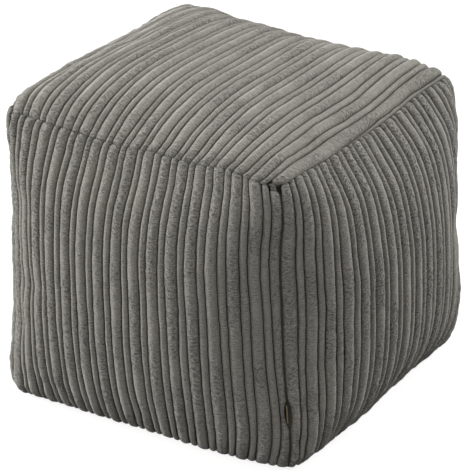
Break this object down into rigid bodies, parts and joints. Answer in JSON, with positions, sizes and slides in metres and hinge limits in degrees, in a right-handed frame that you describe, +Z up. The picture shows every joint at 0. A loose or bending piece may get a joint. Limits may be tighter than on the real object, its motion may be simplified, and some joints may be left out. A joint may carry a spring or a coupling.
{
  "type": "bean bag footstool",
  "caption": "Stuffed cube footstool in wide corduroy, its panels crowned between drawn-in seams, with a blank folded tab in one corner seam; it rests on its flat base.",
  "frame": {"origin": "on the floor under the middle of the stuffed cube", "axes": "+Z up; the wales of the top panel run along Y; the tab is in the corner seam between the -Y and the +X panel"},
  "size_m": [0.4938, 0.4868, 0.407],
  "materials": {
    "corduroy": "warm grey jumbo corduroy, soft brushed pile",
    "tape": "beige woven tape, matt"
  },
  "bodies": {
    "root": {"filled_cover": "corduroy", "seam_label": "tape"}
  },
  "joints": []
}
